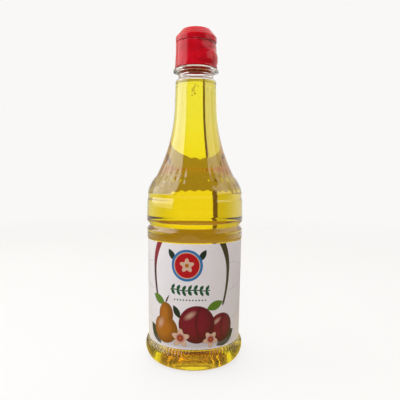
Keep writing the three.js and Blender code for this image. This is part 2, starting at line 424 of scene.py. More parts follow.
def side_outline(fineness):
    """The bottle's side from the foot up to the throat, at a share of the full fineness."""

    def steps(count):
        return max(2, round(count * fineness))

    fillet = 0.3
    return outline(
        (FOOT_OUTER_RADIUS, 0),
        corner((HEEL_RADIUS, 0), (HEEL_RADIUS, HEEL_HEIGHT), steps(14)),
        corner((HEEL_RADIUS, HEEL_LEDGE_HEIGHT), (PANEL_BOTTOM_RADIUS, PANEL_BOTTOM), steps(10)),
        line((PANEL_TOP_RADIUS, PANEL_TOP), steps(8)),
        corner((BUMPER_RADIUS, PANEL_TOP), (BUMPER_RADIUS, BUMPER_BOTTOM), steps(4)),
        line((BUMPER_RADIUS, GROOVE_BOTTOM), steps(4)),
        dip((BAND_RADIUS, GROOVE_TOP), GROOVE_DEPTH, steps(16)),
        line((BAND_TOP_RADIUS, BAND_TOP), steps(6)),
        dip((SHOULDER_BOTTOM_RADIUS, SHOULDER_BOTTOM), SEAT_DEPTH, steps(8)),
        corner(SHOULDER_CORNER, (SHOULDER_TOP_RADIUS, SHOULDER_TOP), steps(14)),
        flare((NECK_BOTTOM_RADIUS, NECK_BOTTOM), steps(24)),
        line((COLLAR_RADIUS, COLLAR_HEIGHT - COLLAR_LINE_HEIGHT), steps(5)),
        dip((COLLAR_RADIUS, COLLAR_HEIGHT), COLLAR_LINE_DEPTH, steps(6)),
        corner((COLLAR_RADIUS, THROAT_BOTTOM), (THROAT_RADIUS + fillet, THROAT_BOTTOM), steps(9)),
        corner((THROAT_RADIUS, THROAT_BOTTOM), (THROAT_RADIUS, THROAT_BOTTOM + fillet), steps(3)),
        line((THROAT_RADIUS, THROAT_TOP), steps(3)),
    )


def inside_outline(depth, fineness):
    """The hollow's outline from the axis up to the throat, at a depth inside the bottle."""
    floor = moved_inwards(push_up_outline(6), depth)[:-1]
    side = moved_inwards(side_outline(fineness), depth)[1:]
    return np.concatenate([floor, side])


def finish_outline(wall):
    """The neck's finish above the throat: the support ring, the tube and its bore."""
    ring_edge = RING_RADIUS - RING_CHAMFER
    return outline(
        (THROAT_RADIUS + wall, THROAT_TOP + wall),
        line((ring_edge, RING_BOTTOM), 4),
        corner((RING_RADIUS, RING_BOTTOM), (RING_RADIUS, RING_BOTTOM + RING_CHAMFER), 4),
        line((RING_RADIUS, RING_TOP - RING_CHAMFER), 2),
        corner((RING_RADIUS, RING_TOP), (ring_edge, RING_TOP), 4),
        line((THROAT_RADIUS, RING_TOP), 3),
        line((THROAT_RADIUS, MOUTH_HEIGHT), 3),
        line((MOUTH_BORE_RADIUS, MOUTH_HEIGHT), 2),
        line((MOUTH_BORE_RADIUS, RING_BOTTOM), 3),
    )


def fade(value, low, high):
    """A smooth hump over low to high: sin(pi s) squared, and 0 outside."""
    share = np.clip((value - low) / (high - low), 0, 1)
    return np.sin(math.pi * share) ** 2


def relief(settings):
    """Inward offset of both faces of the wall: flutes over the shoulder, and ribs at the heel.

    Each row takes depth times fade(z) times (1 - cos(count azimuth)) / 2.
    """
    rows = (
        (settings.flute_depth / MM, settings.flute_count, SHOULDER_BOTTOM, FLUTE_TOP),
        (settings.rib_depth / MM, settings.rib_count, RIB_BOTTOM, RIB_TOP),
    )

    def offset(azimuth, height):
        return -sum(
            depth * fade(height, low, high) * (1 - np.cos(count * azimuth)) / 2
            for depth, count, low, high in rows
        )

    return offset


def no_offset(azimuth, height):
    """A plain turned surface."""
    return 0 * azimuth * height


def around(radius, azimuth, height):
    """Points about the axis, with azimuth 0 at the front: x = r sin a, y = -r cos a."""
    x, y = radius * np.sin(azimuth), -radius * np.cos(azimuth)
    return np.stack(np.broadcast_arrays(x, y, height), axis=-1)


def quads(index):
    """Four-sided faces of a grid of vertex numbers, columns to the right and rows up."""
    return np.stack([
        index[:-1, :-1], index[1:, :-1], index[1:, 1:], index[:-1, 1:]
    ], axis=-1).reshape(-1, 4)


def ring_faces(rows, segments):
    """Four-sided faces between neighbouring rings, wrapped round the axis."""
    index = np.arange(rows * segments).reshape(rows, segments)
    return quads(np.concatenate([index, index[:, :1]], axis=1).T)


def fan(pole, ring, segments):
    """Triangles from a pole to the ring that starts at a vertex number."""
    place = np.arange(segments)
    return np.stack([pole + 0 * place, ring + place, ring + (place + 1) % segments], axis=1)


def turned(name, points, segments, offset=no_offset):
    """A closed surface of revolution, whose outline starts and ends on the axis.

    The outline keeps the material on its left. Its inner points become rings, and its two ends
    become poles with a fan of triangles each.
    """
    azimuth = TURN * np.arange(segments) / segments
    radius, height = points[1:-1, :1], points[1:-1, 1:]
    rings = around(radius + offset(azimuth[None, :], height), azimuth, height)
    poles = [[0, 0, points[0, 1]], [0, 0, points[-1, 1]]]
    vertices = np.concatenate([rings.reshape(-1, 3), poles])
    bottom = len(vertices) - 2
    under, over = fan(bottom, 0, segments)[:, ::-1], fan(bottom + 1, bottom - segments, segments)
    return mesh_object(name, vertices * MM, [ring_faces(len(rings), segments), under, over])


def placed(name, data, place=(0, 0, 0), turn=Matrix()):
    """A new object in the scene, at a place in millimetres and turned by a matrix."""
    thing = bpy.data.objects.new(name, data)
    thing.matrix_world = Matrix.Translation(np.array(place) * MM) @ turn
    bpy.context.scene.collection.objects.link(thing)
    return thing


def mesh_object(name, vertices, face_groups):
    """A smooth mesh object from a vertex array in metres and arrays of faces."""
    faces = [face for group in face_groups for face in group.tolist()]
    mesh = bpy.data.meshes.new(name)
    mesh.from_pydata(vertices.tolist(), [], faces)
    mesh.polygons.foreach_set("use_smooth", np.ones(len(mesh.polygons), bool))
    mesh.update()
    return placed(name, mesh)


def finished(piece, material, slot, *nodes):
    """Gives a piece its material, hangs it under the root body, and hides the CAD nodes that it stands
    in for. The slot is not used.
    """
    piece.data.materials.append(material)
    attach(piece, "root")
    if nodes:
        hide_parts(*nodes)
    return piece


class Signal:
    """A node's output that takes part in Python arithmetic: each operator adds a Math node."""

    def __init__(self, graph, socket):
        self.graph = graph
        self.socket = socket

    def __add__(self, other):
        return self.graph.math("ADD", self, other)

    __radd__ = __add__

    def __sub__(self, other):
        return self.graph.math("SUBTRACT", self, other)

    def __rsub__(self, other):
        return self.graph.math("SUBTRACT", other, self)

    def __mul__(self, other):
        return self.graph.math("MULTIPLY", self, other)

    __rmul__ = __mul__

    def __truediv__(self, other):
        return self.graph.math("DIVIDE", self, other)

    def __abs__(self):
        return self.graph.math("ABSOLUTE", self)


class Graph:
    """The node tree of a material or a world."""

    def __init__(self, owner):
        self.owner = owner
        owner.use_nodes = True
        self.tree = owner.node_tree
        self.tree.nodes.clear()

    def add(self, kind, settings=None, inputs=None, output=0):
        """Adds a node, sets its settings first, then the values or links of its sockets."""
        node = self.tree.nodes.new(kind)
        for name, value in (settings or {}).items():
            setattr(node, name, value)
        for key, value in (inputs or {}).items():
            if isinstance(value, Signal):
                self.tree.links.new(value.socket, node.inputs[key])
            else:
                node.inputs[key].default_value = value
        return Signal(self, node.outputs[output]) if node.outputs else None

    def math(self, operation, *values):
        """A Math node on signals and numbers."""
        return self.add("ShaderNodeMath", {"operation": operation}, dict(enumerate(values)))

    def larger(self, one, other):
        """The larger of two values."""
        return self.math("MAXIMUM", one, other)

    def rise(self, value, low, high):
        """A smooth step from 0 at low to 1 at high."""
        sockets = {"Value": value, "From Min": low, "From Max": high}
        return self.add("ShaderNodeMapRange", {"interpolation_type": "SMOOTHSTEP"}, sockets)

    def mix(self, share, below, above):
        """A colour between two others."""
        sockets = {0: share, 6: with_alpha(below), 7: with_alpha(above)}
        return self.add("ShaderNodeMix", {"data_type": "RGBA"}, sockets, 2)

    def coordinates(self, kind):
        """The object's own coordinates in metres, its UV map, or a direction in a world."""
        return self.add("ShaderNodeTexCoord", output=kind)

    def mapped(self, place, centre, size, turn):
        """A place measured from a centre, turned, and divided by a size."""
        settings = {"vector_type": "TEXTURE"}
        sockets = {
            "Vector": place,
            "Location": (*centre, 0.0),
            "Rotation": (0.0, 0.0, turn),
            "Scale": (*size, 1.0),
        }
        return self.add("ShaderNodeMapping", settings, sockets)

    def split(self, vector):
        """The three parts of a vector."""
        first = self.add("ShaderNodeSeparateXYZ", inputs={0: vector})
        outputs = first.socket.node.outputs
        return [Signal(self, outputs[index]) for index in range(3)]

    def joined(self, across, up):
        """A flat vector from two values."""
        return self.add("ShaderNodeCombineXYZ", inputs={0: across, 1: up})

    def distance(self, vector):
        """A vector's length."""
        return self.add("ShaderNodeVectorMath", {"operation": "LENGTH"}, {0: vector}, 1)

    def noise(self, scale, detail=2.0, stretch=(1.0, 1.0, 1.0)):
        """Soft noise from 0 to 1 over the object's own coordinates, stretched along the axes."""
        place = self.coordinates("Object")
        stretched = self.add("ShaderNodeMapping", inputs={"Vector": place, "Scale": stretch})
        sockets = {"Vector": stretched, "Scale": scale, "Detail": detail}
        return self.add("ShaderNodeTexNoise", inputs=sockets)

    def bump(self, height, distance, normal=None):
        """A bent normal from a height from 0 to 1 and its real distance in metres."""
        sockets = {"Height": height, "Distance": distance, "Strength": 1.0}
        if normal is not None:
            sockets["Normal"] = normal
        return self.add("ShaderNodeBump", inputs=sockets)

    def surface(self, sockets, volume=None):
        """Ends a material with a Principled shader and, where given, a volume, and returns it."""
        shader = self.add("ShaderNodeBsdfPrincipled", inputs=sockets)
        ends = {"Surface": shader}
        if volume is not None:
            ends["Volume"] = volume
        self.add("ShaderNodeOutputMaterial", inputs=ends)
        return self.owner


def shaded(ink, share):
    """A colour at a share of its brightness."""
    return tuple(share * part for part in ink)


def with_alpha(value):
    """A colour's numbers with an alpha of 1; a signal stays as it is."""
    return value if isinstance(value, Signal) else (*value[:3], 1.0)


def new_material(name):
    """The empty node tree of a new material."""
    return Graph(bpy.data.materials.new(name))


def clear_plastic(settings):
    """Clear blow-moulded plastic: slow waves in the wall, faint draw lines and light handling haze."""
    graph = new_material("clear_plastic")
    waves = graph.noise(55.0, 1.0, (1.0, 1.0, 0.45))
    lines = graph.noise(900.0, 2.0, (1.0, 1.0, 0.06))
    haze = graph.noise(160.0, 4.0)
    return graph.surface({
        "Base Color": with_alpha(settings.plastic),
        "Roughness": 0.012 + 0.03 * graph.rise(haze, 0.5, 0.8),
        "IOR": settings.ior,
        "Transmission Weight": 1.0,
        "Normal": graph.bump(lines, 0.000004, graph.bump(waves, 0.00025)),
    })


def vinegar_liquid(settings):
    """Clear yellow vinegar: an even absorption through its volume, with faint cloudy streaks."""
    graph = new_material("yellow_vinegar")
    streaks = graph.noise(40.0, 3.0, (1.0, 1.0, 0.3))
    tint = graph.mix(graph.rise(streaks, 0.35, 0.75), (1.0, 1.0, 1.0), (1.0, 0.99, 0.95))
    absorbed = {"Color": with_alpha(settings.passed), "Density": settings.density}
    volume = graph.add("ShaderNodeVolumeAbsorption", inputs=absorbed)
    sockets = {"Base Color": tint, "Roughness": 0.0, "IOR": settings.ior, "Transmission Weight": 1.0}
    return graph.surface(sockets, volume)


def air_bubble():
    """A small bright bubble on the inside of the wall."""
    graph = new_material("air_bubble")
    speckle = graph.noise(900.0)
    return graph.surface({
        "Base Color": (1.0, 0.98, 0.85, 1.0),
        "Roughness": 0.02 + 0.05 * speckle,
        "IOR": 1.9,
        "Transmission Weight": 1.0,
    })


def red_plastic(settings):
    """Glossy moulded plastic: fine orange peel, hair scratches and a slow change of depth."""
    graph = new_material("red_plastic")
    peel = graph.noise(700.0, 2.0)
    waves = graph.noise(130.0, 2.0, (1.0, 1.0, 0.35))
    scuffs = graph.noise(420.0, 5.0, (1.0, 1.0, 0.2))
    cloud = graph.noise(90.0, 3.0)
    deep = shaded(settings.red, 0.78)
    return graph.surface({
        "Base Color": graph.mix(graph.rise(cloud, 0.3, 0.7), deep, settings.red),
        "Roughness": settings.roughness + 0.08 * graph.rise(scuffs, 0.56, 0.74),
        "IOR": 1.5,
        "Subsurface Weight": 0.8,
        "Subsurface Radius": (1.0, 0.06, 0.12),
        "Subsurface Scale": settings.depth,
        "Normal": graph.bump(peel, 0.000003, graph.bump(waves, 0.00002)),
    })


class Print:
    """Paints shapes over a label, one on the other, from a place in millimetres.

    The front is a mask that is 1 on the label's front half, and the inks are its settings.
    """

    def __init__(self, graph, place, front, inks):
        self.graph = graph
        self.place = place
        self.front = front
        self.inks = inks
        self.colour = with_alpha(inks.paper)

    def paint(self, mask, ink):
        """Lays an ink over what is painted so far, where the mask is 1."""
        self.colour = self.graph.mix(mask, self.colour, ink)

    def stamp(self, mask, ink):
        """Lays an ink on the front alone."""
        self.paint(mask * self.front, ink)

    def disc(self, centre, size, turn=0.0, soft=None):
        """A mask of an ellipse: 1 inside, fading over soft, a share of its size, at the rim."""
        soft = PRINT_BLUR / min(size) if soft is None else soft
        reach = self.graph.distance(self.graph.mapped(self.place, centre, size, turn))
        return 1 - self.graph.rise(reach, 1 - soft, 1 + soft)

    def leaf(self, centre, size, turn, place=None):
        """A mask of a leaf with two pointed ends: |y| + x^2 < 1 in its own half lengths."""
        within = place or self.place
        across, up, _ = self.graph.split(self.graph.mapped(within, centre, size, turn))
        soft = PRINT_BLUR / size[1]
        return 1 - self.graph.rise(abs(up) + across * across, 1 - soft, 1 + soft)

    def blossom(self, centre, radius, turn):
        """A mask of five petals, whose rim lies at radius (0.8 + 0.2 cos(5 times the angle))."""
        near = self.graph.mapped(self.place, centre, (radius, radius), turn)
        across, up, _ = self.graph.split(near)
        angle = self.graph.math("ARCTAN2", up, across)
        rim = 0.8 + 0.2 * self.graph.math("COSINE", angle * 5)
        soft = PRINT_BLUR / radius
        return 1 - self.graph.rise(self.graph.distance(near) / rim, 1 - soft, 1 + soft)

    def band(self, value, half_width):
        """A mask of a line: 1 where a value in millimetres is within a half width of 0."""
        return 1 - self.graph.rise(abs(value) - half_width, -PRINT_BLUR, PRINT_BLUR)


def paint_stripes(art, across, up):
    """Two curved framing stripes, widest at the top: crimson to brown, and olive."""
    graph, inks = art.graph, art.inks
    above = graph.larger(up - STRIPE_MIDDLE, 0)
    below = graph.larger(STRIPE_MIDDLE - up, 0)
    sideways = abs(across) - (STRIPE_REACH - 0.0145 * above * above - 0.0075 * below * below)
    width = 1.25 + 0.07 * above - 0.02 * below
    tall = graph.rise(up, 44.5, 46.5)
    stripe = art.band(sideways, width) * tall
    left = graph.mix(graph.rise(up, 66.0, 82.0), inks.brown, inks.crimson)
    art.paint(stripe, graph.mix(graph.rise(across, -1, 1), left, inks.olive))


def paint_medallion(art):
    """A red round medallion with a cream and a blue ring, a blossom, and two leaves."""
    x, y = MEDALLION
    inks = art.inks
    for side, turn in ((-1, 0.55), (1, -0.55)):
        leaf = art.leaf((x + side * 10.4, y + 6.6), (4.6, 2.0), math.pi / 2 + turn)
        art.stamp(leaf, inks.shade)
    for radius, ink in ((10.6, inks.blue), (8.9, inks.cream), (8.3, inks.red)):
        art.stamp(art.disc((x, y), (radius, radius)), ink)
    art.stamp(art.blossom((x, y), 4.9, math.pi / 2), inks.cream)
    art.stamp(art.disc((x, y), (1.3, 1.3)), inks.amber)


def paint_sprig(art, across, up):
    """A green stem with a leaf above and below at every step, and a row of dots under it."""
    graph, green = art.graph, art.inks.green
    pitch, steps = 3.9, 7
    reach = pitch * steps / 2
    wave = 0.35 * graph.math("SINE", across * 0.45)
    height = up - SPRIG_HEIGHT - wave
    within = 1 - graph.rise(abs(across), reach - PRINT_BLUR, reach + PRINT_BLUR)
    art.paint(art.band(height, 0.38) * within, green)
    step = graph.math("WRAP", across, pitch / 2, -pitch / 2)
    local = graph.joined(step, abs(height))
    leaves = art.leaf((0.1, 1.75), (2.2, 1.05), math.radians(58), local)
    art.paint(leaves * within, green)
    dot_pitch = 2.1
    spot = graph.joined(graph.math("WRAP", across, dot_pitch / 2, -dot_pitch / 2), up - DOTS_HEIGHT)
    dots = 1 - graph.rise(graph.distance(spot), 0.42, 0.62)
    row = 1 - graph.rise(abs(across), reach - 2.6, reach - 2.4)
    art.paint(dots * row, green)


def paint_plum(art, centre, radius):
    """A round plum: a dark rim, a lit shoulder, a soft crease and a small gleam."""
    maroon = art.inks.maroon

    def disc(across, up, size, turn=0.0, soft=None):
        place = (centre[0] + across * radius, centre[1] + up * radius)
        return art.disc(place, (size[0] * radius, size[1] * radius), turn, soft)

    body = disc(0, 0, (1, 1.03)) * art.front
    art.paint(body, shaded(maroon, 0.42))
    art.paint(disc(-0.16, 0.18, (0.86, 0.86), soft=0.42) * body, maroon)
    crease = disc(0.75, 0.1, (0.85, 1.3))
    edge = disc(0.82, 0.08, (0.83, 1.3), soft=0.2)
    art.paint((crease - art.graph.math("MINIMUM", crease, edge)) * body, shaded(maroon, 0.3))
    art.paint(0.75 * disc(-0.36, 0.5, (0.26, 0.12), 0.6, 0.9) * body, art.inks.cream)


def paint_pear(art, centre):
    """A pear from two rounds, lit on its upper left, with a brown stem."""
    larger, inks = art.graph.larger, art.inks

    def at(across, up):
        return centre[0] + across, centre[1] + up

    art.stamp(art.leaf(at(1.8, 20.6), (3.8, 0.6), 1.1), inks.brown)
    lower, upper = art.disc(at(0, 0), (10.0, 9.6)), art.disc(at(0.7, 10.2), (5.9, 8.2), -0.06)
    body = larger(lower, upper) * art.front
    art.paint(body, shaded(inks.amber, 0.5))
    lower = art.disc(at(-1.8, 0.9), (7.6, 7.3), soft=0.55)
    upper = art.disc(at(-0.6, 10.4), (3.8, 6.7), soft=0.6)
    art.paint(larger(lower, upper) * body, inks.amber)
    art.paint(0.6 * art.disc(at(-3.8, 3.6), (1.9, 3.2), -0.5, 0.9) * body, inks.cream)


def paint_fruit(art):
    """A generic still life: a pear on the left, two plums on the right, blossoms and leaves."""
    inks = art.inks
    for centre, size, turn, ink in (
        ((27.0, 22.5), (9.0, 4.4), 0.5, inks.shade),
        ((-27.6, 24.0), (8.4, 3.8), 2.3, inks.shade),
        ((-23.6, 48.6), (6.2, 2.9), 2.7, inks.leaf),
        ((17.6, 46.0), (6.4, 3.0), 0.35, inks.leaf),
        ((-9.0, 41.8), (5.0, 2.1), 2.1, inks.shade),
    ):
        art.stamp(art.leaf(centre, size, turn), ink)
    art.stamp(0.45 * art.disc((1.0, 20.2), (29.0, 2.6), soft=0.6), inks.grey)
    paint_plum(art, (22.6, 30.4), 9.6)
    paint_pear(art, (-18.2, 28.8))
    paint_plum(art, (4.8, 33.6), 12.4)
    for centre, radius, turn in (((-6.4, 24.2), 6.2, 0.3), ((14.6, 23.2), 5.4, 0.9)):
        heart, middle = 0.42 * radius, 0.16 * radius
        art.stamp(art.blossom(centre, radius * 1.06, turn), shaded(inks.cream, 0.5))
        art.stamp(art.blossom(centre, radius, turn), inks.cream)
        art.stamp(art.disc(centre, (heart, heart), soft=0.5), shaded(inks.maroon, 1.6))
        art.stamp(art.disc(centre, (middle, middle)), inks.amber)


def paint_panels(art, across, up):
    """Thin sweeping hairlines beside the front, and a plain ruled box at the back."""
    graph, grey = art.graph, art.inks.grey
    beside = graph.rise(abs(across), STRIPE_REACH, STRIPE_REACH + 2)
    out = abs(across) - STRIPE_REACH
    for start, lift in ((55.0, 0.02), (34.5, 0.016), (74.0, -0.012)):
        curve = up - start - lift * out * out
        art.paint(0.85 * art.band(curve, 0.08) * beside, grey)
    half = BOX_LINE_PITCH / 2
    lines = graph.math("WRAP", up - BOX_HEIGHT + half, half, -half)

    def box(inset):
        sides = zip((across, up - BOX_HEIGHT), BOX_HALF_SIZE)
        wide, tall = (1 - graph.rise(abs(v), s - inset, s + BOX_EDGE - inset) for v, s in sides)
        return wide * tall

    whole = box(0)
    ruled = graph.larger(whole - box(BOX_EDGE), 0.8 * art.band(lines, 0.06) * whole)
    art.paint(ruled * (1 - art.front), grey)


def label_print(settings, span, low, high):
    """Satin printed film: the art as fields of ink, soft wrinkles and a fine grain.

    The inner face is unprinted, and glows with painted light: an emission that stands in for
    the light that a thin white film lets through.
    """
    graph = new_material("printed_film")
    sockets = {
        "Vector": graph.coordinates("UV"),
        "Location": (span[0] * LABEL_PRINT_RADIUS - PRINT_CENTRE, low, 0.0),
        "Scale": ((span[1] - span[0]) * LABEL_PRINT_RADIUS, high - low, 1.0),
    }
    place = graph.add("ShaderNodeMapping", inputs=sockets)
    wrapped, up, _ = graph.split(place)
    quarter = math.pi / 2 * LABEL_PRINT_RADIUS
    across = graph.math("WRAP", wrapped, quarter, -quarter)
    art = Print(graph, place, 1 - graph.rise(abs(wrapped), quarter - 1, quarter), settings)
    paint_panels(art, across, up)
    paint_stripes(art, across, up)
    paint_medallion(art)
    paint_sprig(art, across, up)
    paint_fruit(art)
    wrinkles = graph.noise(60.0, 3.0, (1.0, 1.0, 1.6))
    creases = graph.noise(230.0, 2.0, (1.0, 1.0, 3.0))
    inner = graph.add("ShaderNodeAttribute", {"attribute_name": INNER_FACE}, output=2)
    return graph.surface({
        "Base Color": graph.mix(inner, art.colour, settings.paper),
        "Roughness": 0.3 + 0.2 * graph.noise(350.0, 3.0),
        "IOR": 1.49,
        # Painted light: the unprinted inner face glows with this emission, in place of light let
        # through the film
        "Emission Color": graph.mix(inner, (0.0, 0.0, 0.0), settings.through),
        "Emission Strength": 1.0,
        "Coat Weight": 0.12,
        "Coat Roughness": 0.25,
        "Normal": graph.bump(creases, 0.00003, graph.bump(wrinkles, 0.0004)),
    })


def label_span():
    """First and last azimuth of the label's film, from its seam right round and over it."""
    start = LABEL_SEAM_AZIMUTH - TURN
    return start, LABEL_SEAM_AZIMUTH + LABEL_OVERLAP


def label_film(name, settings):
    """The label as one closed film with a lapped seam and its own UV map.

    Its middle surface lies at r(z) + gap + w(a, z) + lap(a): r is the panel's radius, w a sum
    of slow waves in azimuth and height, and lap a smooth step up where the film covers its own
    start. The film's two faces lie half a thickness to either side, joined all round the rim.
    """
    low, high = PANEL_BOTTOM + LABEL_MARGIN, PANEL_TOP - LABEL_MARGIN
    columns, rows = 440, 60
    first, last = label_span()
    share = np.linspace(0, 1, columns)[:, None]
    rise = (1 - np.cos(math.pi * np.linspace(0, 1, rows)[None, :])) / 2
    azimuth = first + share * (last - first)
    height = low + rise * (high - low)
    taper = (height - PANEL_BOTTOM) / (PANEL_TOP - PANEL_BOTTOM)
    panel = PANEL_BOTTOM_RADIUS + taper * (PANEL_TOP_RADIUS - PANEL_BOTTOM_RADIUS)
    film, wave = settings.film / MM, settings.wrinkle / MM
    lap = np.clip((azimuth - LABEL_SEAM_AZIMUTH + LAP_LEAD) / LAP_RISE, 0, 1)
    ripple = sum(
        strength * np.sin(count * azimuth + climb * height + start)
        for strength, count, climb, start in FILM_WAVES
    )
    ripple = ripple / sum(strength for strength, *_ in FILM_WAVES)
    middle = panel + LABEL_GAP + film / 2 + wave * (1 + ripple)
    middle = middle + (film + 2 * wave) * lap * lap * (3 - 2 * lap)
    sheets = [around(middle + side * film / 2, azimuth, height) for side in (1, -1)]
    vertices = np.concatenate([sheet.reshape(-1, 3) for sheet in sheets])
    index = np.arange(columns * rows).reshape(columns, rows)
    outer = quads(index)
    inner = quads(index + columns * rows)[:, ::-1]
    rim = np.concatenate([index[:, 0], index[-1, 1:], index[-2::-1, -1], index[0, -2:0:-1]])
    beyond = np.roll(rim, -1)
    edge = np.stack([beyond, rim, rim + columns * rows, beyond + columns * rows], axis=1)
    thing = mesh_object(name, vertices * MM, [outer, inner, edge])
    flat = np.stack(np.broadcast_arrays(share, rise), axis=-1).reshape(-1, 2)
    corners = np.zeros(len(thing.data.loops), np.int32)
    thing.data.loops.foreach_get("vertex_index", corners)
    layer = thing.data.uv_layers.new(name="print")
    layer.data.foreach_set("uv", np.concatenate([flat, flat])[corners].ravel())
    inner_face = thing.data.attributes.new(INNER_FACE, "FLOAT", "POINT")
    inner_face.data.foreach_set("value", np.repeat([0.0, 1.0], columns * rows))
    return thing


def thumb_offset(azimuth, height):
    """The cap's thumb scoop and the ledge under it.

    The scoop is -depth (1 - a^2 - b^2)^power, with a and b the turn and the way down in its own
    half sizes. The ledge is proud (1 - a^2 - b^2) with its own half sizes, outside the scoop.
    """
    turn = (azimuth - SCOOP_AZIMUTH + math.pi) % TURN - math.pi
    down = (CAP_SEAM - height) / SCOOP_HEIGHT
    in_scoop = 1 - (turn / SCOOP_HALF_ANGLE) ** 2 - down**2
    scoop = -SCOOP_DEPTH * np.maximum(in_scoop, 0) ** SCOOP_SIDE_POWER
    climb = (height - LEDGE_HEIGHT) / LEDGE_HALF_HEIGHT
    ledge = LEDGE_PROUD * np.maximum(1 - (turn / LEDGE_HALF_ANGLE) ** 2 - climb**2, 0)
    return np.where(in_scoop > 0, scoop, ledge)


def skirt_inside():
    """The cap below its seam, from the deck's underside down to the lower edge."""
    deck = MOUTH_HEIGHT + SEAM_GAP
    return outline(
        (0, deck),
        line((CAP_INNER_RADIUS, deck), 3),
        line((CAP_INNER_RADIUS, CAP_BOTTOM), 6),
        line((CAP_BOTTOM_RADIUS + CAP_BEAD_PROUD - CAP_EDGE, CAP_BOTTOM), 2),
    )


def skirt_outside():
    """The cap below its seam, from the lower edge up to the seam and over the deck."""
    bead = CAP_BOTTOM_RADIUS + CAP_BEAD_PROUD
    bead_top = CAP_BOTTOM + CAP_BEAD_HEIGHT
    edge, seam = CAP_EDGE, CAP_SEAM
    return outline(
        (bead - edge, CAP_BOTTOM),
        corner((bead, CAP_BOTTOM), (bead, CAP_BOTTOM + edge), 3),
        line((bead, bead_top - edge), 2),
        corner((bead, bead_top), (CAP_BOTTOM_RADIUS, bead_top), 3),
        line((CAP_SEAM_RADIUS, seam - SCOOP_HEIGHT), 26),
        line((CAP_SEAM_RADIUS, seam - edge), 26),
        corner((CAP_SEAM_RADIUS, seam), (CAP_SEAM_RADIUS - edge, seam), 3),
        line((0, seam), 6),
    )[1:]


def lid_outline(inset):
    """The lid's side and top, from the seam up to the axis, at a wall's inset from the outside."""
    radius, edge = LID_RADIUS - inset, LID_EDGE
    seam = CAP_SEAM + SEAM_GAP
    chamfer_top = (LID_CHAMFER_RADIUS - inset, LID_CHAMFER_TOP - inset)
    top = LID_TOP - inset
    lean = (LID_CHAMFER_RADIUS - LID_RADIUS) / (LID_CHAMFER_TOP - LID_BAND_TOP)
    return outline(
        (radius - edge, seam),
        corner((radius, seam), (radius, seam + edge), 5),
        line((radius, LID_BAND_TOP - edge), 6),
        corner((radius, LID_BAND_TOP), (radius + lean * edge, LID_BAND_TOP + edge), 4),
        line(chamfer_top, 10),
        corner((LID_CHAMFER_RADIUS - inset - LID_CROWN_ROUNDING, top), (0, top), 14),
    )


def balls(name, centres, radii):
    """Many small balls as one mesh: centre + radius (sin t cos a, sin t sin a, cos t)."""
    rows, segments = 6, 10
    polar = math.pi * (np.arange(rows) + 0.5) / rows
    azimuth = TURN * np.arange(segments) / segments
    rings = np.stack([
        np.outer(np.sin(polar), np.cos(azimuth)),
        np.outer(np.sin(polar), np.sin(azimuth)),
        np.outer(np.cos(polar), np.ones(segments)),
    ], axis=-1).reshape(-1, 3)
    unit = np.concatenate([rings, [[0, 0, 1], [0, 0, -1]]])
    vertices = centres[:, None, :] + radii[:, None, None] * unit
    side = ring_faces(rows, segments)[:, ::-1]
    top = len(rings)
    under = fan(top + 1, top - segments, segments)[:, ::-1]
    caps = np.concatenate([fan(top, 0, segments), under])
    shift = len(unit) * np.arange(len(centres))[:, None, None]
    groups = [(side + shift).reshape(-1, 4), (caps + shift).reshape(-1, 3)]
    return mesh_object(name, vertices.reshape(-1, 3) * MM, groups)


class VINEGAR_OT_bottle(bpy.types.Operator):
    """Makes the clear bottle: foot, ribbed heel, panel, groove, fluted shoulder, neck and ring"""

    bl_idname = "vinegar.bottle"
    bl_label = "Clear bottle"

    def execute(self, context):
        settings = context.scene.vinegar_bottle
        wall = settings.wall / MM
        side = side_outline(OUTSIDE_FINENESS)[:-1]
        inside = inside_outline(wall, INSIDE_FINENESS)[::-1]
        points = np.concatenate([push_up_outline(8), side, finish_outline(wall), inside])
        piece = turned("bottle_shell", points, BOTTLE_SEGMENTS, relief(settings))
        finished(piece, clear_plastic(settings), "clear_plastic", "bottle")
        return {"FINISHED"}


class VINEGAR_OT_fill(bpy.types.Operator):
    """Makes the vinegar, which reaches just into the bottle's wall, up to its level"""

    bl_idname = "vinegar.fill"
    bl_label = "Vinegar"

    def execute(self, context):
        settings = context.scene.vinegar_fill
        bottle = context.scene.vinegar_bottle
        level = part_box("vinegar")[1].z / MM
        depth = (bottle.wall - settings.overlap) / MM
        side = inside_outline(depth, INSIDE_FINENESS)
        rising = side[np.argmin(side[:, 1]):]
        edge = np.interp(level, rising[:, 1], rising[:, 0])
        side = side[side[:, 1] < level - LEVEL_CLEARANCE]
        away = np.linspace(0, 1, 10) ** 2 * edge
        sunk = settings.meniscus / MM * (1 - np.exp(-away / MENISCUS_REACH))
        surface = np.stack([edge - away, level - sunk], axis=1)
        surface[-1, 0] = 0
        points = np.concatenate([side, surface])
        piece = turned("vinegar_fill", points, BOTTLE_SEGMENTS, relief(bottle))
        finished(piece, vinegar_liquid(settings), "liquid", "vinegar")
        return {"FINISHED"}


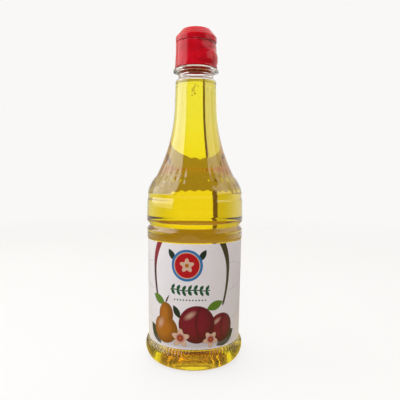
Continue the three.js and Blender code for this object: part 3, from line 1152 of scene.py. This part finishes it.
class VINEGAR_OT_bubbles(bpy.types.Operator):
    """Makes small air bubbles that cling to the inside of the neck and shoulder"""

    bl_idname = "vinegar.bubbles"
    bl_label = "Air bubbles"

    def execute(self, context):
        settings = context.scene.vinegar_fill
        draw = np.random.default_rng(BUBBLE_SEED)
        count = settings.bubble_count
        side = inside_outline(BUBBLE_DEPTH, 1.0)
        side = side[(side[:, 1] > SHOULDER_TOP) & (side[:, 1] < THROAT_BOTTOM)]
        down = np.arange(TRAIL_COUNT) / TRAIL_COUNT
        loose = SHOULDER_TOP + (TRAIL_TOP - SHOULDER_TOP) * draw.random(count) ** 0.5
        height = np.concatenate([loose, TRAIL_TOP - TRAIL_DROP * down])
        radius = np.interp(height, side[:, 1], side[:, 0])
        waver = TRAIL_AZIMUTH + TRAIL_SWAY * np.sin(TRAIL_WAVES * TURN * down)
        waver = waver + TRAIL_SCATTER * draw.normal(size=TRAIL_COUNT)
        azimuth = np.concatenate([TURN * draw.random(count), waver])
        size = np.concatenate([
            BUBBLE_LEAST + BUBBLE_SPREAD * draw.random(count) ** 3,
            TRAIL_LEAST + BUBBLE_SPREAD * draw.random(TRAIL_COUNT),
        ])
        piece = balls("air_bubbles", around(radius - size, azimuth, height), size)
        finished(piece, air_bubble(), "clear_plastic")
        return {"FINISHED"}


class VINEGAR_OT_label(bpy.types.Operator):
    """Makes the printed film that is wrapped round the panel"""

    bl_idname = "vinegar.label"
    bl_label = "Label"

    def execute(self, context):
        settings = context.scene.vinegar_label
        low, high = (part.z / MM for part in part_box("label"))
        piece = label_film("label_wrap", settings)
        material = label_print(settings, label_span(), low, high)
        finished(piece, material, "label_film", "label")
        return {"FINISHED"}


class VINEGAR_OT_cap(bpy.types.Operator):
    """Makes the cap's skirt with its thumb scoop and ledge, and the flip lid above the seam"""

    bl_idname = "vinegar.cap"
    bl_label = "Cap and lid"

    def execute(self, context):
        settings = context.scene.vinegar_cap
        inside, outside = skirt_inside(), skirt_outside()
        points = np.concatenate([inside, outside])
        outer = (np.arange(len(points)) >= len(inside))[1:-1, None]

        def offset(azimuth, height):
            share = np.clip(points[1:-1, :1] / CAP_SEAM_RADIUS, 0, 1)
            on_side = outer * share**SCOOP_DECK_POWER
            return on_side * thumb_offset(azimuth, height)

        material = red_plastic(settings)
        skirt = turned("cap_skirt", points, CAP_SEGMENTS, offset)
        finished(skirt, material, "cap_plastic", "cap")
        lid_points = np.concatenate([lid_outline(LID_WALL)[::-1], lid_outline(0)])
        lid = turned("cap_flip_lid", lid_points, CAP_SEGMENTS)
        finished(lid, material, "cap_plastic", "cap_lid")
        return {"FINISHED"}


def wall_light(name, size, radiance, tint, place, facing):
    """A rectangular area light of an even radiance: its power is pi times area times radiance."""
    light = bpy.data.lights.new(name, "AREA")
    light.shape = "RECTANGLE"
    light.size, light.size_y = size[0] * MM, size[1] * MM
    light.energy = math.pi * light.size * light.size_y * radiance
    light.color = tint
    lamp = placed(name, light, place, facing)
    lamp.visible_camera = False
    return lamp


def studio_world(settings):
    """A pale backdrop for the camera, and a soft room for the light and the reflections.

    The room is told by direction, with turns in radians from straight behind the bottle: a
    bright wall behind it, a little dimmer to the right and dimmer still to the left past the
    edge of a door, and a dim room in front.
    """
    world = bpy.data.worlds.new("studio")
    bpy.context.scene.world = world
    graph = Graph(world)
    x, y, _ = graph.split(graph.coordinates("Generated"))
    turn = graph.math("ARCTAN2", x, y)
    behind = 1 - graph.rise(abs(turn), *FRONT_TURNS)
    wall = graph.mix(graph.rise(turn, *RIGHT_TURNS), WALL_MIDDLE, WALL_RIGHT)
    wall = graph.mix(graph.rise(turn, DOOR_TURN, DOOR_TURN - 0.01), wall, WALL_LEFT)
    edge = 1 - graph.rise(abs(turn - DOOR_TURN), *DOOR_HALF_WIDTH)
    wall = graph.mix(edge, wall, DOOR_EDGE)
    room = graph.mix(behind, settings.room, wall)
    sees = graph.add("ShaderNodeLightPath")
    seen = graph.mix(sees, room, settings.backdrop)
    background = graph.add("ShaderNodeBackground", inputs={"Color": seen, "Strength": 1.0})
    graph.add("ShaderNodeOutputWorld", inputs={"Surface": background})


def oval_sheet(name, reach, centre, turn, height):
    """A flat oval sheet: rings of s times its two reaches, turned, round its centre."""
    segments, count = 96, 24
    share = (np.arange(1, count + 1) / count) ** 2
    azimuth = TURN * np.arange(segments) / segments
    across = reach[0] * np.outer(share, np.cos(azimuth))
    along = reach[1] * np.outer(share, np.sin(azimuth))
    x = centre[0] + across * math.cos(turn) - along * math.sin(turn)
    y = centre[1] + across * math.sin(turn) + along * math.cos(turn)
    rings = np.stack([x, y, height + 0 * x], axis=-1).reshape(-1, 3)
    vertices = np.concatenate([rings, [[*centre, height]]])
    middle = fan(len(rings), 0, segments)
    return mesh_object(name, vertices * MM, [ring_faces(count, segments)[:, ::-1], middle])


def floor_finish(settings):
    """A pale luminous floor with a faint grain, which fades into the backdrop far away."""
    graph = new_material("pale_floor")
    grain = graph.noise(300.0, 4.0)
    tint = graph.mix(grain, shaded(settings.floor, 0.985), settings.floor)
    far = graph.rise(graph.distance(graph.coordinates("Object")), *FLOOR_FADE)
    return graph.surface({
        "Base Color": tint,
        "Roughness": 0.85,
        "Emission Color": with_alpha(settings.backdrop),
        "Emission Strength": settings.floor_glow,
        "Alpha": 1 - far,
    })


def table_finish(settings):
    """The table that only the bottle sees, with a painted pool of yellow light by its foot, where the
    bottle would gather the light.
    """
    graph = new_material("table")
    grain = graph.noise(30.0, 3.0, (1.0, 0.2, 1.0))
    shade = graph.mix(grain, shaded(settings.table, 0.94), settings.table)
    # Painted light: the table glows yellower near the foot, a pool of light painted in place of the
    # bottle's focused light
    near = 1 - graph.rise(graph.distance(graph.coordinates("Object")), *CAUSTIC_PAINT_FADE)
    shade = graph.mix(near, shade, settings.painted_caustic)
    return graph.surface({
        "Base Color": (0.0, 0.0, 0.0, 1.0),
        "Roughness": 1.0,
        "Emission Color": shade,
        "Emission Strength": 1.0,
    })


class VINEGAR_OT_stage(bpy.types.Operator):
    """Makes the floor, the light and the camera"""

    bl_idname = "vinegar.stage"
    bl_label = "Stage"

    def execute(self, context):
        settings = context.scene.vinegar_stage
        floor = oval_sheet("floor", FLOOR_REACH, (0, 0), 0, FLOOR_HEIGHT)
        floor.data.materials.append(floor_finish(settings))
        floor.visible_transmission = False
        floor.visible_glossy = False
        floor.visible_diffuse = False
        table = oval_sheet("table", TABLE_REACH, TABLE_CENTRE, TABLE_TURN, TABLE_HEIGHT)
        table.data.materials.append(table_finish(settings))
        table.visible_camera = False
        table.visible_diffuse = False
        table.visible_shadow = False
        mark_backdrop(floor, table)
        studio_world(settings)
        to_right = Matrix.Rotation(-math.pi / 2, 4, "Y")
        to_left = Matrix.Rotation(math.pi / 2, 4, "Y")
        to_bottle = Matrix.Rotation(KEY_TURN, 4, "Z") @ Matrix.Rotation(KEY_TILT, 4, "X")
        sill = SILL_SHARE * settings.window
        wall_light("window", WINDOW_SIZE, settings.window, COOL, WINDOW_PLACE, to_right)
        wall_light("sill", SILL_SIZE, sill, COOL, SILL_PLACE, to_right)
        wall_light("fill", FILL_SIZE, settings.fill, WARM, FILL_PLACE, to_left)
        key = wall_light("key", KEY_SIZE, settings.key, ROSY, KEY_PLACE, to_bottle)
        key.visible_glossy = False
        key.visible_transmission = False
        self.camera(context)
        scene = context.scene
        scene.view_settings.view_transform = "Standard"
        scene.cycles.max_bounces = 28
        scene.cycles.transmission_bounces = 24
        scene.cycles.glossy_bounces = 12
        scene.cycles.transparent_max_bounces = 8
        return {"FINISHED"}

    def camera(self, context):
        """Places the camera, pitched down and rolled as the photograph shows."""
        data = bpy.data.cameras.new("camera")
        data.lens, data.sensor_width = CAMERA_LENS, CAMERA_SENSOR
        pitch = Matrix.Rotation(math.pi / 2 + CAMERA_PITCH, 4, "X")
        roll = Matrix.Rotation(CAMERA_ROLL, 4, "Z")
        context.scene.camera = placed("camera", data, CAMERA_PLACE, pitch @ roll)


OPERATORS = (
    VINEGAR_OT_bottle,
    VINEGAR_OT_fill,
    VINEGAR_OT_bubbles,
    VINEGAR_OT_label,
    VINEGAR_OT_cap,
    VINEGAR_OT_stage,
)


class VINEGAR_PT_bottle(bpy.types.Panel):
    """Lists what the bottle is made of"""

    bl_idname = "VINEGAR_PT_bottle"
    bl_label = "Vinegar bottle"
    bl_space_type = "VIEW_3D"
    bl_region_type = "UI"
    bl_category = "Bottle"

    def draw(self, context):
        for name, group in SETTINGS.items():
            for prop in group.__annotations__:
                self.layout.prop(getattr(context.scene, name), prop)
        for operator in OPERATORS:
            self.layout.operator(operator.bl_idname)


CLASSES = (*SETTINGS.values(), *OPERATORS, VINEGAR_PT_bottle)


def register():
    for entry in CLASSES:
        bpy.utils.register_class(entry)
    for name, group in SETTINGS.items():
        setattr(bpy.types.Scene, name, bpy.props.PointerProperty(type=group))


def unregister():
    for name in SETTINGS:
        delattr(bpy.types.Scene, name)
    for entry in reversed(CLASSES):
        bpy.utils.unregister_class(entry)


def write_sizes():
    """Gathers the CAD model's box and the visual model's box as plain lists."""
    boxes = {"cad": CAD_BOX, "visual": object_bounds()}
    plain = {name: [list(end) for end in box] for name, box in boxes.items()}


def main():
    register()
    bpy.ops.vinegar.bottle()
    bpy.ops.vinegar.fill()
    bpy.ops.vinegar.bubbles()
    bpy.ops.vinegar.label()
    bpy.ops.vinegar.cap()
    bpy.ops.vinegar.stage()
    write_sizes()


if __name__ == "__main__":
    main()
